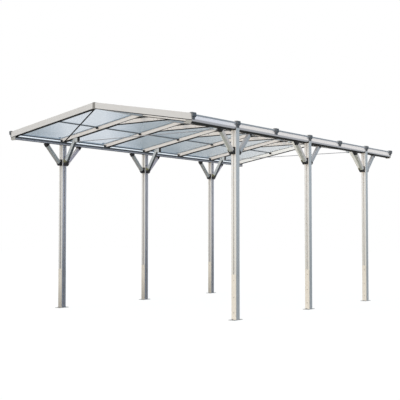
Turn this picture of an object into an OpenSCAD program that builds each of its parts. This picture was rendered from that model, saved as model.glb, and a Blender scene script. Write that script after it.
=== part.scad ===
// Free-standing carport with a low gable roof of clear panels on an aluminium frame.
// Millimetres. X across, Y along (front is -Y), Z up. Origin at the middle of the footprint, on the ground.

/* [Overall] */
// distance between neighbouring roof frames, six bays in all
bay_length = 832; // [700:1:900]
// left post to right post, centre to centre
post_span = 2688; // [2400:1:3000]
// ground to the underside of the gutter floors
head_height = 2098; // [1900:1:2400]
// slope of the roof in degrees
roof_pitch = 9.75; // [8:0.25:12]

/* [Posts] */
// side of the square post
post_size = 68; // [64:1:76]
// wall of the post tube
post_wall = 3; // [2.5:0.1:4]
// corner radius of the post
post_corner = 4; // [3:0.5:6]
// mouth of the channels down the front, rear and inner faces
slot_width = 10; // [8:0.5:14]
// width of the channel behind the mouth
channel_width = 18; // [16:0.5:22]
// depth of the channel behind the post wall
channel_depth = 6; // [4:0.5:8]
// height of the post's outer wall above the gutter underside
post_lap = 28; // [20:1:29]

/* [Feet] */
// foot plate, across the carport
foot_width = 84; // [80:1:110]
// foot plate, along the carport
foot_length = 172; // [160:1:220]
// foot plate thickness
foot_thickness = 5; // [4:0.5:8]
// corner radius of the foot plate
foot_corner = 10; // [6:1:14]
// anchor hole diameter
anchor_hole = 12; // [9:0.5:14]
// anchor hole to anchor hole
anchor_spacing = 122; // [116:1:130]
// height of the foot's two upright plates above the ground
upright_height = 500; // [300:10:700]
// sheet of the upright plates
upright_sheet = 3; // [2:0.5:4]

/* [Gutters] */
// gutter width
gutter_width = 80; // [76:1:90]
// outer wall height above the floor's underside
gutter_height = 88; // [82:1:96]
// clear height between the inner wall and the rafters
eave_gap = 20; // [20:1:26]
// how far the end caps reach below the floor
cap_skirt = 11; // [8:1:14]
// radius of the outer lower edge
bend_radius = 36; // [30:1:38]
// gutter sheet thickness
gutter_wall = 3; // [2:0.5:3]
// height of the dark strip on the gutter lip
trim_height = 18; // [14:1:20]

/* [Roof frame] */
// rafter depth with its cover strip, square to the slope
rafter_depth = 67; // [64:1:76]
// rafter width
rafter_width = 40; // [36:1:44]
// end frame width
fascia_width = 44; // [40:1:50]
// ridge beam width
ridge_width = 40; // [36:1:44]
// sheet thickness of the rafters and beams
frame_wall = 2.5; // [2:0.1:3]
// top flange width of a rafter
flange_width = 56; // [50:1:58]
// top flange thickness
flange_thickness = 8; // [6:0.5:9]
// half length of the collar bar along its lower edge
collar_reach = 416; // [380:1:440]
// clear height between the collars and the ridge
collar_gap = 19.5; // [16:0.5:24]
// depth of the cover strips under the rafters and collars
cover_depth = 8; // [6:0.5:10]
// depth of the cover strips below the end frames
end_cover_depth = 6.5; // [6:0.5:8]
// sheet of the cover strips
cover_wall = 2; // [1.5:0.1:2.5]

/* [Roof] */
// panel thickness
panel_thickness = 6.4; // [4:0.2:8]
// distance of the purlin from the middle, level
purlin_offset = 718; // [600:1:800]
// purlin depth
purlin_depth = 10; // [8:1:14]
// purlin width
purlin_width = 22; // [16:1:30]
// depth of the rail along the eave
rail_depth = 11; // [8:1:14]

/* [Braces] */
// reach of the braces along the gutter
brace_reach = 270; // [250:1:290]
// reach of the inward brace
inward_reach = 198; // [180:1:216]
// side of the square brace tube
brace_size = 40; // [34:1:42]
// wall of the brace tube
brace_wall = 2; // [1.5:0.1:3]
// cross tie diameter
tie_diameter = 9; // [6:0.5:12]
// diagonal rod diameter
rod_diameter = 15; // [10:0.5:15.5]

/* [Clips] */
// clip width
clip_width = 60; // [56:1:66]
// clip stand-out from the gutter face
clip_depth = 22; // [18:1:28]
// reach of the clip over the roof edge
clip_hook = 22; // [14:1:26]

/* [Hidden] */
$fn = 32;
fit = 0.3;               // gap at a seat
post_frames = [-2, 0, 2];
tie_frames = [-2, 2];
inner_frames = [-2, -1, 0, 1, 2];
all_frames = [-3, -2, -1, 0, 1, 2, 3];
frame_half = max(all_frames);              // frames either side of the middle one
bays = [-3, -2, -1, 0, 1, 2];
slope = tan(roof_pitch);
post_x = post_span / 2;
post_out = post_x + post_size / 2;
post_in = post_x - post_size / 2;
gutter_out = post_out - post_wall - fit;
gutter_in = gutter_out - gutter_width;
gutter_top = head_height + gutter_height;
cap_low = head_height - cap_skirt;
floor_z = head_height + gutter_wall;       // gutter floor, upper face
eave_x = gutter_out - gutter_wall - fit;   // where rafters and end frames stop
lip_rise = 9.6;                            // roof surface above the gutter lip
ridge_z = gutter_top + lip_rise + eave_x * slope;
rafter_drop = rafter_depth / cos(roof_pitch);
end_drop = (rafter_depth + end_cover_depth) / cos(roof_pitch);
box_bottom = rafter_depth - cover_depth;   // underside of the rafter's metal box
ridge_half = ridge_width / 2;
panel_slot = panel_thickness + 2 * fit;
panel_back = 14;                           // panel edge behind the rafter ends
panel_in = 10;                             // panel edge inside the ridge beam
panel_end = 2;                             // room beyond that edge
box_top = flange_thickness + panel_slot;   // depth of the rafter's box below the roof surface
neck = 12;                                 // web between the panel slots
cap_sheet = 4;                             // gutter and ridge end caps
length_half = frame_half * bay_length + fascia_width / 2;
gutter_run = 2 * (length_half - cap_sheet);
collar_z = ridge_z - rafter_drop - collar_reach * slope;
collar_depth = collar_reach * slope - collar_gap;    // with its cover
brace_z = head_height - brace_reach;       // where brace lines meet the post face
tie_rise = 32;                             // cross ties above the gutter floor
tie_z = head_height + tie_rise;
lip_top = under(gutter_in) - eave_gap;     // top of the gutter's inner wall
over = 1;                                  // cuts run past a face by this
big = 8000;

function frame_y(i) = i * bay_length;
function roof_z(x) = ridge_z - x * slope;                // roof surface
function under(x) = roof_z(x) - rafter_drop;             // underside of the rafters
function under_end(x) = roof_z(x) - end_drop;            // underside of the end frames
function is_end(i) = abs(i) == frame_half;
function half_width(i) = (is_end(i) ? fascia_width : rafter_width) / 2;
function unit(v) = v / norm(v);
function arc(x, z, r, a0, a1) = [for (a = [a0 : 15 : a1]) [x + r * cos(a), z + r * sin(a)]];

pale = [0.85, 0.82, 0.78];
grey = [0.61, 0.60, 0.58];
slate = [0.30, 0.33, 0.36];
black = [0.06, 0.06, 0.07];
clear = [0.70, 0.77, 0.83, 0.55];

// helpers

module on_side(s) {
    if (s > 0) children();
    else mirror([1, 0, 0]) children();
}

// a flat outline given as (x, z), made width thick in Y about y
module upright(y, width) {
    translate([0, y + width / 2, 0])
        rotate([90, 0, 0])
            linear_extrude(width) children();
}

// right-hand slope: origin on the ridge line of the roof surface, X down the slope, Z square to it
module on_slope() {
    translate([0, 0, ridge_z])
        rotate([0, roof_pitch, 0]) children();
}

// a bar with outline (y, n) running down the right-hand slope between two upright cuts
module slope_bar(x0, x1, y) {
    intersection() {
        on_slope()
            translate([-post_size, y, 0])
                rotate([90, 0, 90])
                    linear_extrude(post_span) children();
        translate([x0, -big / 2, 0])
            cube([x1 - x0, big, big]);
    }
}

module both_halves() {
    children();
    mirror([1, 0, 0]) children();
}

// rounded rectangle outline
module soft_rect(a, b, r) {
    square([a, b - 2 * r], center = true);
    square([a - 2 * r, b], center = true);
    for (sx = [-1, 1], sy = [-1, 1])
        translate([sx * (a / 2 - r), sy * (b / 2 - r)]) circle(r);
}

// rectangle outline with its wall, standing on y = low
module hollow_rect(width, low, height, wall) {
    translate([-width / 2, low])
        difference() {
            square([width, height]);
            translate([wall, wall]) square([width - 2 * wall, height - 2 * wall]);
        }
}

// posts

// channels down the front, rear and inner faces
module in_channels() {
    for (a = [0, 180, -90])
        rotate(a) translate([0, -post_size / 2]) children();
}

module post_outline() {
    inner = post_size - 2 * post_wall;
    lining = channel_depth + post_wall;
    difference() {
        soft_rect(post_size, post_size, post_corner);
        difference() {
            square([inner, inner], center = true);
            in_channels()
                translate([-channel_width / 2 - post_wall, post_wall - over])
                    square([channel_width + 2 * post_wall, lining + over]);
        }
        in_channels() {
            translate([-slot_width / 2, -over]) square([slot_width, post_wall + 2 * over]);
            translate([-channel_width / 2, post_wall]) square([channel_width, channel_depth]);
        }
    }
}

module post(side, i) {
    color(pale) on_side(side) {
        translate([post_x, frame_y(i), foot_thickness])
            linear_extrude(head_height - foot_thickness) post_outline();
        translate([post_out - post_wall, frame_y(i) - post_size / 2 + post_corner, head_height - over])
            cube([post_wall, post_size - 2 * post_corner, post_lap + over]);
    }
}

module post_front_left() { post(-1, -2); }
module post_middle_left() { post(-1, 0); }
module post_rear_left() { post(-1, 2); }
module post_front_right() { post(1, -2); }
module post_middle_right() { post(1, 0); }
module post_rear_right() { post(1, 2); }

// foot plate with the two upright plates that hold the post between them
module foot(i) {
    upright_w = post_size - 2 * post_corner;
    translate([post_x, frame_y(i), 0]) {
        difference() {
            linear_extrude(foot_thickness) soft_rect(foot_width, foot_length, foot_corner);
            for (s = [-1, 1])
                translate([0, s * anchor_spacing / 2, -over])
                    cylinder(h = foot_thickness + 2 * over, d = anchor_hole);
        }
        for (s = [-1, 1])
            translate([0, s * (post_size / 2 + fit + upright_sheet / 2), upright_height / 2 + over])
                cube([upright_w, upright_sheet, upright_height - 2 * over], center = true);
    }
}

module post_feet_left() {
    color(grey) on_side(-1)
        for (i = post_frames) foot(i);
}
module post_feet_right() {
    color(grey)
        for (i = post_frames) foot(i);
}

// gutters

// filled outline of the gutter, drawn in by inset
module trough(inset, top) {
    bend_x = gutter_out - bend_radius;
    bend_z = head_height + bend_radius;
    translate([gutter_in + inset, head_height + inset])
        square([bend_x - gutter_in - inset, top - head_height - inset]);
    translate([gutter_in + inset, bend_z])
        square([gutter_width - 2 * inset, top - bend_z]);
    translate([bend_x, bend_z]) circle(bend_radius - inset);
}

// high outer wall with a round lower edge, low inner wall
module gutter_outline() {
    difference() {
        trough(0, gutter_top);
        trough(gutter_wall, gutter_top + over);
        translate([gutter_in - over, lip_top]) square([gutter_wall + 2 * over, gutter_height]);
    }
}

module gutter() { upright(0, gutter_run) gutter_outline(); }

module gutter_left() { color(pale) on_side(-1) gutter(); }
module gutter_right() { color(pale) gutter(); }

module gutter_end_caps() {
    cap_round = 2 * bend_radius / 3;
    color(grey) both_halves()
        for (s = [-1, 1])
            upright(s * (length_half - cap_sheet / 2), cap_sheet)
                polygon(concat([[gutter_in, cap_low]],
                               arc(gutter_out - cap_round, cap_low + cap_round, cap_round, -90, 0),
                               [[gutter_out, under_end(gutter_out) - fit],
                                [gutter_in, under_end(gutter_in) - fit]]));
}

trim_sheet = 2.5;
lip_strip = 12;      // height of the strip above the inner wall
lip_grip = 6;        // how far it reaches down the inner wall

// dark strips: over the outer lip between the clips, and along the inner wall
module gutter_trims() {
    trim_out = gutter_out + trim_sheet;
    trim_low = gutter_top + trim_sheet - trim_height;
    lip_run = 2 * (frame_y(frame_half) - fascia_width / 2 - fit);
    color(slate) both_halves() {
        for (i = bays) {
            y0 = frame_y(i) + clip_width / 2 + fit;
            run = bay_length - clip_width - 2 * fit;
            upright(y0 + run / 2, run)
                polygon([[gutter_out - gutter_wall, gutter_top], [gutter_out, gutter_top],
                         [gutter_out, trim_low], [trim_out, trim_low],
                         [trim_out, gutter_top + trim_sheet],
                         [gutter_out - gutter_wall, gutter_top + trim_sheet]]);
        }
        upright(0, lip_run)
            difference() {
                translate([gutter_in - trim_sheet, lip_top - lip_grip])
                    square([gutter_wall + 2 * trim_sheet, lip_grip + lip_strip]);
                translate([gutter_in, lip_top - lip_grip - over])
                    square([gutter_wall, lip_grip + over]);
            }
    }
}

// roof frame

// glazing bar: crowned flange, neck with a panel slot on each side, hollow box
module rafter_outline() {
    half = flange_width / 2;
    ease = flange_thickness / 2;
    polygon([[-half, -flange_thickness], [half, -flange_thickness], [half, -ease],
             [half - ease, 0], [ease - half, 0], [-half, -ease]]);
    translate([-neck / 2, -box_top - over])
        square([neck, panel_slot + 2 * over]);
    hollow_rect(rafter_width, -box_bottom, box_bottom - box_top, frame_wall);
}

module rafter_pair(i) {
    color(pale) both_halves()
        slope_bar(ridge_half, eave_x, frame_y(i)) rafter_outline();
}

module rafters_1() { rafter_pair(-2); }
module rafters_2() { rafter_pair(-1); }
module rafters_3() { rafter_pair(0); }
module rafters_4() { rafter_pair(1); }
module rafters_5() { rafter_pair(2); }

// end frame outline with its face at -y and the panel slot at +y
module fascia_outline() {
    face = -fascia_width / 2;
    difference() {
        translate([face, -rafter_depth])
            square([fascia_width, rafter_depth]);
        translate([neck / 2, -box_top])
            square([fascia_width, panel_slot]);
        translate([face + frame_wall, -rafter_depth + frame_wall])
            square([fascia_width - 2 * frame_wall, rafter_depth - box_top - 2 * frame_wall]);
        translate([face + frame_wall, -box_top - frame_wall - over])
            square([fascia_width / 2 + neck / 2 - 2 * frame_wall, box_top + over]);
    }
}

module end_frame() {
    both_halves()
        slope_bar(ridge_half, eave_x, frame_y(-frame_half)) fascia_outline();
}

module end_frame_front() { color(pale) end_frame(); }
module end_frame_rear() { color(pale) mirror([0, 1, 0]) end_frame(); }

// black channel strips under the rafters and end frames
module rafter_covers() {
    color(black) both_halves()
        for (i = all_frames) {
            width = 2 * half_width(i);
            depth = is_end(i) ? end_cover_depth : cover_depth;
            low = is_end(i) ? rafter_depth + end_cover_depth : rafter_depth;
            slope_bar(ridge_half, eave_x, frame_y(i))
                hollow_rect(width, -low, depth - fit, cover_wall);
        }
}

module ridge_beam() {
    slot_low = ridge_half * slope + box_top / cos(roof_pitch) + frame_wall / 5;
    low = ridge_z - rafter_drop;
    slot_in = panel_in + panel_end;
    color(pale)
        upright(0, gutter_run)
            difference() {
                translate([-ridge_half, low]) square([ridge_width, rafter_drop]);
                translate([-ridge_half + frame_wall, low + frame_wall])
                    square([ridge_width - 2 * frame_wall, rafter_drop - slot_low - 2 * frame_wall]);
                for (s = [-1, 1])
                    translate([s * ridge_half - (s > 0 ? slot_in : over), ridge_z - slot_low])
                        square([slot_in + over, slot_low - flange_thickness]);
            }
}

module ridge_end_caps() {
    color(slate)
        for (s = [-1, 1])
            upright(s * (length_half - cap_sheet / 2), cap_sheet)
                translate([-ridge_half, ridge_z - end_drop])
                    square([ridge_width, end_drop]);
}

// everything above the underside of both slopes, less a seat gap
module above_rafters() {
    both_halves()
        on_slope()
            translate([-big / 2, -big / 2, -rafter_depth - fit])
                cube([big, big, big / 4]);
}

// a level bar of the collars, cut to the slopes at its ends
module collar_part(low, depth, wall) {
    for (i = inner_frames)
        difference() {
            upright(frame_y(i), rafter_width)
                translate([-collar_reach, low])
                    square([2 * collar_reach, depth]);
            upright(frame_y(i), rafter_width - 2 * wall)
                translate([-collar_reach - over, low + wall])
                    square([2 * (collar_reach + over), depth - 2 * wall]);
            above_rafters();
        }
}

module collar_bars() {
    color(pale) collar_part(collar_z + cover_depth, collar_depth - cover_depth, frame_wall);
}

module collar_covers() {
    color(black) collar_part(collar_z, cover_depth - fit, cover_wall);
}

// black roof-shaped brackets between the collars and the ridge
module ridge_brackets() {
    reach = 92;
    notch = 55;
    base = collar_z + collar_depth + fit;
    apex = (base + under(0)) / 2;
    color(black)
        for (i = inner_frames)
            difference() {
                upright(frame_y(i), rafter_width - 2 * cover_wall)
                    polygon([[-reach, base], [-notch, base], [0, apex], [notch, base],
                             [reach, base], [reach, under(0)], [-reach, under(0)]]);
                above_rafters();
            }
}

// roof panels, purlins and rails

module panel(i) {
    edge = neck / 2 + over;
    run = bay_length - 2 * edge;
    slope_bar(ridge_half - panel_in, eave_x - panel_back, frame_y(i) + bay_length / 2)
        translate([-run / 2, -box_top + fit])
            square([run, panel_thickness]);
}

module panel_pair(i) { color(clear) both_halves() panel(i); }
module roof_panels_1() { panel_pair(-3); }
module roof_panels_2() { panel_pair(-2); }
module roof_panels_3() { panel_pair(-1); }
module roof_panels_4() { panel_pair(0); }
module roof_panels_5() { panel_pair(1); }
module roof_panels_6() { panel_pair(2); }

// one bar per bay, from the side of one frame to the side of the next
// ear: what stands beside an inner frame there
module bay_bars(u, top, width, depth, ear) {
    for (i = bays) {
        y0 = frame_y(i) + half_width(i) + (is_end(i) ? 0 : ear) + fit;
        y1 = frame_y(i + 1) - half_width(i + 1) - (is_end(i + 1) ? 0 : ear) - fit;
        on_slope()
            translate([u - width / 2, y0, -top - depth])
                cube([width, y1 - y0, depth]);
    }
}

purlin_u = purlin_offset / cos(roof_pitch);
purlin_clear = 4;    // purlin below the panels
purlin_top = box_top + purlin_clear;

module purlins_left() {
    color(slate) on_side(-1) bay_bars(purlin_u, purlin_top, purlin_width, purlin_depth, 0);
}
module purlins_right() {
    color(slate) bay_bars(purlin_u, purlin_top, purlin_width, purlin_depth, 0);
}

// a block under each purlin end, on the side of the frame
module purlin_fittings() {
    long = 26;
    deep = 14;
    rim = 3;
    color(black) both_halves()
        for (i = bays) {
            y0 = frame_y(i) + half_width(i);
            y1 = frame_y(i + 1) - half_width(i + 1) - long;
            for (y = [y0, y1])
                on_slope()
                    translate([purlin_u - purlin_width / 2 - rim, y, -purlin_top - purlin_depth - deep])
                        cube([purlin_width + 2 * rim, long, deep]);
        }
}

// moulded seats that carry the rafter ends in the gutters
ear_sheet = 7;       // cheek beside the rafter
ear_rise = 32;       // cheek height above the rafter underside
seat_base = 8;       // plate below the rafter underside
arm_depth = 6;
arm_reach = 62;      // arm under the rafter, inward from the gutter
block_x0 = gutter_in + gutter_wall + trim_sheet + over;
block_long = 30;
block_width = 30;
cradle_back = 7;     // cradle behind the rafter ends
block_x1 = block_x0 + block_long;
cradle_x1 = eave_x - cradle_back;

rail_inset = 40;     // rail inward from the outer wall
rail_u = (gutter_out - rail_inset) / cos(roof_pitch);
rail_top = rafter_depth - ear_rise;
rail_width = 14;

module eave_rails_left() {
    color(slate) on_side(-1) bay_bars(rail_u, rail_top, rail_width, rail_depth, ear_sheet + fit);
}
module eave_rails_right() {
    color(slate) bay_bars(rail_u, rail_top, rail_width, rail_depth, ear_sheet + fit);
}

module rafter_seat(i) {
    arm_x = gutter_in - arm_reach;
    ear_y = rafter_width / 2 + fit + ear_sheet / 2;
    upright(frame_y(i), block_width)
        polygon([[block_x0, floor_z], [block_x1, floor_z], [block_x1, under(block_x1) - fit],
                 [arm_x, under(arm_x) - fit], [arm_x, under(arm_x) - arm_depth],
                 [block_x0, under(block_x0) - arm_depth]]);
    upright(frame_y(i), 2 * (ear_y + ear_sheet / 2))
        polygon([[block_x1 - over, under(block_x1) - seat_base], [cradle_x1, under(cradle_x1) - seat_base],
                 [cradle_x1, under(cradle_x1) - fit], [block_x1 - over, under(block_x1 - over) - fit]]);
    for (s = [-1, 1])
        upright(frame_y(i) + s * ear_y, ear_sheet)
            polygon([[block_x1 - over, under(block_x1) - seat_base],
                     [cradle_x1, under(cradle_x1) - seat_base],
                     [cradle_x1, under(cradle_x1) + ear_rise - seat_base],
                     [cradle_x1 - seat_base, under(cradle_x1) + ear_rise],
                     [block_x1 - over, under(block_x1) + ear_rise]]);
}

// plain block below an end frame, behind the gutter's end cap
module end_seat(i) {
    y = frame_y(i) - sign(i) * (fascia_width / 2 - block_width / 2);
    upright(y, block_width)
        polygon([[block_x0, floor_z], [block_x1, floor_z], [block_x1, under_end(block_x1) - fit],
                 [block_x0, under_end(block_x0) - fit]]);
}

module rafter_seats() {
    color(black) both_halves() {
        for (i = inner_frames) rafter_seat(i);
        for (i = [-frame_half, frame_half]) end_seat(i);
    }
}

// clips over the gutter lip: rounded head, narrower tongue
module clip(i) {
    x0 = gutter_out;
    out = x0 + clip_depth;
    over_lap = 2;
    tongue_long = 26;
    low = head_height + post_lap + over_lap;
    mid = low + tongue_long;
    hook_x = x0 - clip_hook;
    sheet = 4;
    top = roof_z(hook_x) + fit + sheet;
    chin = 14;
    brow = 8;
    tongue = 11;
    upright(frame_y(i), clip_width)
        polygon(concat([[x0, mid]], arc(out - chin, mid + chin, chin, -90, 0),
                       arc(out - brow, top - brow, brow, 0, 90),
                       [[hook_x, top], [hook_x, roof_z(hook_x) + fit],
                        [x0 - gutter_wall, roof_z(x0 - gutter_wall) + fit],
                        [x0 - gutter_wall, gutter_top], [x0, gutter_top]]));
    upright(frame_y(i), clip_width * 2 / 3)
        polygon(concat([[x0, low]], arc(x0 + tongue / 2, low + tongue / 2, tongue / 2, -90, 0),
                       [[x0 + tongue, mid + over], [x0, mid + over]]));
}

module rafter_clips_left() {
    color(slate) on_side(-1)
        for (i = all_frames) clip(i);
}
module rafter_clips_right() {
    color(slate)
        for (i = all_frames) clip(i);
}

// braces: drawn in the plane (r, z), r measured out from the post face

half_tube = brace_size / 2;
bracket_plate = 10;    // plate of a bracket between the tube's end and its seat
bracket_rise = 84;     // plate height up the post
bracket_foot = 2;      // plate above the foot of the brace line
bracket_tail = 14;     // head plate beyond the head of the brace line
bracket_lead = 8;      // head plate ahead of the tube
socket_wall = 3;       // wall of a bracket's socket round the tube
foot_socket = 24;      // how far a foot's socket reaches along the tube
head_socket = 6;       // the same for the shallow socket at a head
half_socket = half_tube + socket_wall;
bracket_wide = 2 * half_socket;
lug_reach = 47;        // from the inward brace's head to the end of its tie lug
lug_long = 38;

// foot and head of the brace lines
along_foot = [0, brace_z];
along_head = [brace_reach, head_height];
inward_foot = [0, brace_z];
inward_head = [inward_reach, under(post_in - inward_reach)];

// length of the line taken up by the bracket at its foot and at its head
function foot_hold(d) = (bracket_plate + half_tube * d[1]) / d[0];
function head_hold(d) = (bracket_plate + half_tube * d[0]) / d[1];
function under_r(r) = under(post_in - r) - fit;

module brace_bar(a, b, half, extra) {
    d = unit(b - a);
    run = norm(b - a) - foot_hold(d) - head_hold(d) + 2 * extra;
    translate(a + d * (foot_hold(d) - extra))
        rotate(atan2(d[1], d[0]))
            translate([0, -half]) square([run, 2 * half]);
}

// plate on the post with a socket for the tube's lower end
module foot_bracket(a, b) {
    d = unit(b - a);
    n = [-d[1], d[0]];
    p = a + d * foot_hold(d);
    q = p + d * foot_socket;
    low = a[1] + bracket_foot;
    side = p - n * half_socket;
    toe = side[0] - (side[1] - low) * d[0] / d[1];
    polygon([[0, low], [toe, low], q - n * half_socket, q + n * half_socket,
             [bracket_plate, a[1] + bracket_rise], [0, a[1] + bracket_rise]]);
}

// plate under the gutter with a socket for the tube's upper end
module head_bracket_along() {
    d = unit(along_head - along_foot);
    n = [-d[1], d[0]];
    p = along_head - d * head_hold(d);
    q = p - d * head_socket;
    inner = (p + n * half_tube)[0] - bracket_lead;
    outer = brace_reach + bracket_tail;
    z = head_height;
    polygon([[outer, z], [inner, z], [inner, z - bracket_plate], q + n * half_socket, q - n * half_socket,
             [outer, z - bracket_plate]]);
}

// the same under a rafter, with a lug that holds the end of the cross tie
module head_bracket_inward() {
    d = unit(inward_head - inward_foot);
    n = [-d[1], d[0]];
    p = inward_head - d * head_hold(d);
    q = p - d * head_socket;
    r0 = (p + n * half_tube)[0] - bracket_lead;
    r2 = inward_reach + lug_reach;
    lug_low = tie_z - tie_diameter;
    polygon([[r0, under_r(r0)], q + n * half_socket, q - n * half_socket,
             [r2 - lug_long, lug_low], [r2, lug_low], [r2, under_r(r2)]]);
}

// places an (r, z) outline out from the post: dir 1 rearward, -1 forward, 0 inward
module from_post(i, dir, thick) {
    if (dir == 0)
        translate([post_in, frame_y(i) - thick / 2, 0])
            rotate([0, 0, 180])
                rotate([90, 0, 0])
                    linear_extrude(thick) children();
    else
        translate([post_x - dir * thick / 2, frame_y(i) + dir * post_size / 2, 0])
            rotate([0, 0, dir * 90])
                rotate([90, 0, 0])
                    linear_extrude(thick) children();
}

// square tube
module brace(i, dir, a, b) {
    difference() {
        from_post(i, dir, brace_size) brace_bar(a, b, half_tube, 0);
        from_post(i, dir, brace_size - 2 * brace_wall) brace_bar(a, b, half_tube - brace_wall, over);
    }
}

module braces() {
    for (i = post_frames) {
        for (dir = [-1, 1])
            brace(i, dir, along_foot, along_head);
        brace(i, 0, inward_foot, inward_head);
    }
}

// outlines made solid, with the tube's room cut out of them
module socketed(i, dir, a, b) {
    difference() {
        from_post(i, dir, bracket_wide) children();
        from_post(i, dir, brace_size + 2 * fit) brace_bar(a, b, half_tube + fit, fit);
    }
}

module brace_brackets() {
    for (i = post_frames) {
        for (dir = [-1, 1])
            socketed(i, dir, along_foot, along_head) {
                foot_bracket(along_foot, along_head);
                head_bracket_along();
            }
        socketed(i, 0, inward_foot, inward_head) {
            foot_bracket(inward_foot, inward_head);
            head_bracket_inward();
        }
    }
}

module braces_left() { color(pale) on_side(-1) braces(); }
module braces_right() { color(pale) braces(); }
module brace_brackets_left() { color(black) on_side(-1) brace_brackets(); }
module brace_brackets_right() { color(black) brace_brackets(); }

// cross ties at the first and last posts
module cross_ties() {
    reach = post_in - inward_reach - lug_reach;
    color(pale)
        for (i = tie_frames)
            translate([-reach, frame_y(i), tie_z])
                rotate([0, 90, 0])
                    cylinder(h = 2 * reach, d = tie_diameter);
}

// diagonal rod under an end bay: from the end frame at the ridge to the first rafter at the eave
module rod() {
    lug = 16;
    n = -rafter_depth;
    eave_end = gutter_in - trim_sheet - lug / 2 - over;
    a = [2 * ridge_half, frame_y(-frame_half) + half_width(frame_half) + lug / 2, n + lug / 2];
    b = [(eave_end - n * sin(roof_pitch)) / cos(roof_pitch), frame_y(-2) - half_width(-2) - lug / 2, n];
    d = b - a;
    on_slope() {
        translate(a)
            rotate([0, acos(d[2] / norm(d)), atan2(d[1], d[0])])
                cylinder(h = norm(d), d = rod_diameter);
        for (p = [a, b])
            translate(p) cube([lug, lug, lug], center = true);
    }
}

module roof_rods() {
    color(slate) {
        on_side(-1) rod();
        mirror([0, 1, 0]) rod();
    }
}

post_front_left();
post_middle_left();
post_rear_left();
post_front_right();
post_middle_right();
post_rear_right();
post_feet_left();
post_feet_right();
gutter_left();
gutter_right();
gutter_end_caps();
gutter_trims();
rafters_1();
rafters_2();
rafters_3();
rafters_4();
rafters_5();
end_frame_front();
end_frame_rear();
ridge_beam();
ridge_end_caps();
collar_bars();
rafter_covers();
collar_covers();
ridge_brackets();
roof_panels_1();
roof_panels_2();
roof_panels_3();
roof_panels_4();
roof_panels_5();
roof_panels_6();
purlins_left();
purlins_right();
purlin_fittings();
eave_rails_left();
eave_rails_right();
rafter_seats();
rafter_clips_left();
rafter_clips_right();
braces_left();
braces_right();
brace_brackets_left();
brace_brackets_right();
cross_ties();
roof_rods();
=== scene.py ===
import math

import bmesh
import bpy
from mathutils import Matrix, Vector


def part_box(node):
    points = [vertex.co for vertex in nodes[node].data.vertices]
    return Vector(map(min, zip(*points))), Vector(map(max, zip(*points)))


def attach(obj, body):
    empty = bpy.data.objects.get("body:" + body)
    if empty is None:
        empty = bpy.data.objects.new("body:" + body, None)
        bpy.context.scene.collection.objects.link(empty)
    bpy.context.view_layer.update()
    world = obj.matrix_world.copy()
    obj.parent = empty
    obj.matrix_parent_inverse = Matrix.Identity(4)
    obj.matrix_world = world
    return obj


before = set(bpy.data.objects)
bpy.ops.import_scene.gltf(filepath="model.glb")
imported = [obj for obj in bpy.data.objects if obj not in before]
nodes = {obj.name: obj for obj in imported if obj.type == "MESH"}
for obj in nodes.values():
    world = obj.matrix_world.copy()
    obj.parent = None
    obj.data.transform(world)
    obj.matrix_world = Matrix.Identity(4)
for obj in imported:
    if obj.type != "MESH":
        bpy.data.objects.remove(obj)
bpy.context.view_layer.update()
scene = bpy.context.scene
print("carport: frame loaded,", len(nodes), "nodes")


# small node helpers

floatSocket = "NodeSocketFloat"
colourSocket = "NodeSocketColor"
vectorSocket = "NodeSocketVector"
mixSockets = {"factor": 0, "first": 6, "second": 7, "result": 2}  # the mix node's colour sockets


def opaque(colour):
    return tuple(colour) + (1,)


def newGroup(name, inputs, outputs):
    group = bpy.data.node_groups.new(name, "ShaderNodeTree")
    for socketName, socketType, default in inputs:
        socket = group.interface.new_socket(socketName, in_out="INPUT", socket_type=socketType)
        socket.default_value = default
    for socketName, socketType in outputs:
        group.interface.new_socket(socketName, in_out="OUTPUT", socket_type=socketType)
    return group, group.nodes.new("NodeGroupInput"), group.nodes.new("NodeGroupOutput")


def addNode(tree, kind, **settings):
    node = tree.nodes.new(kind)
    for key, value in settings.items():
        setattr(node, key, value)
    return node


def feed(tree, socket, value):
    # plain values are set on the socket, other sockets are linked to it
    if isinstance(value, (int, float, tuple)):
        socket.default_value = value
    else:
        tree.links.new(value, socket)


def mathNode(tree, operation, *values):
    node = addNode(tree, "ShaderNodeMath", operation=operation)
    for socket, value in zip(node.inputs, values):
        feed(tree, socket, value)
    return node.outputs[0]


def mixColour(tree, factor, first, second):
    node = addNode(tree, "ShaderNodeMix", data_type="RGBA")
    feed(tree, node.inputs[mixSockets["factor"]], factor)
    feed(tree, node.inputs[mixSockets["first"]], first)
    feed(tree, node.inputs[mixSockets["second"]], second)
    return node.outputs[mixSockets["result"]]


def rangeNode(tree, source, fromMin, fromMax, toMin=0.0, toMax=1.0):
    node = addNode(tree, "ShaderNodeMapRange")
    limits = {"Value": source, "From Min": fromMin, "From Max": fromMax, "To Min": toMin, "To Max": toMax}
    for socketName, value in limits.items():
        feed(tree, node.inputs[socketName], value)
    return node.outputs["Result"]


def noiseNode(tree, vector, scale, detail):
    node = addNode(tree, "ShaderNodeTexNoise")
    for socketName, value in {"Vector": vector, "Scale": scale, "Detail": detail}.items():
        feed(tree, node.inputs[socketName], value)
    return node.outputs["Fac"]


def objectPlace(tree):
    return addNode(tree, "ShaderNodeTexCoord").outputs["Object"]


# shared effects

grainLook = {"lineScale": 220.0, "lineDetail": 4.0, "toneScale": 3.0, "toneDetail": 3.0}


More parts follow.
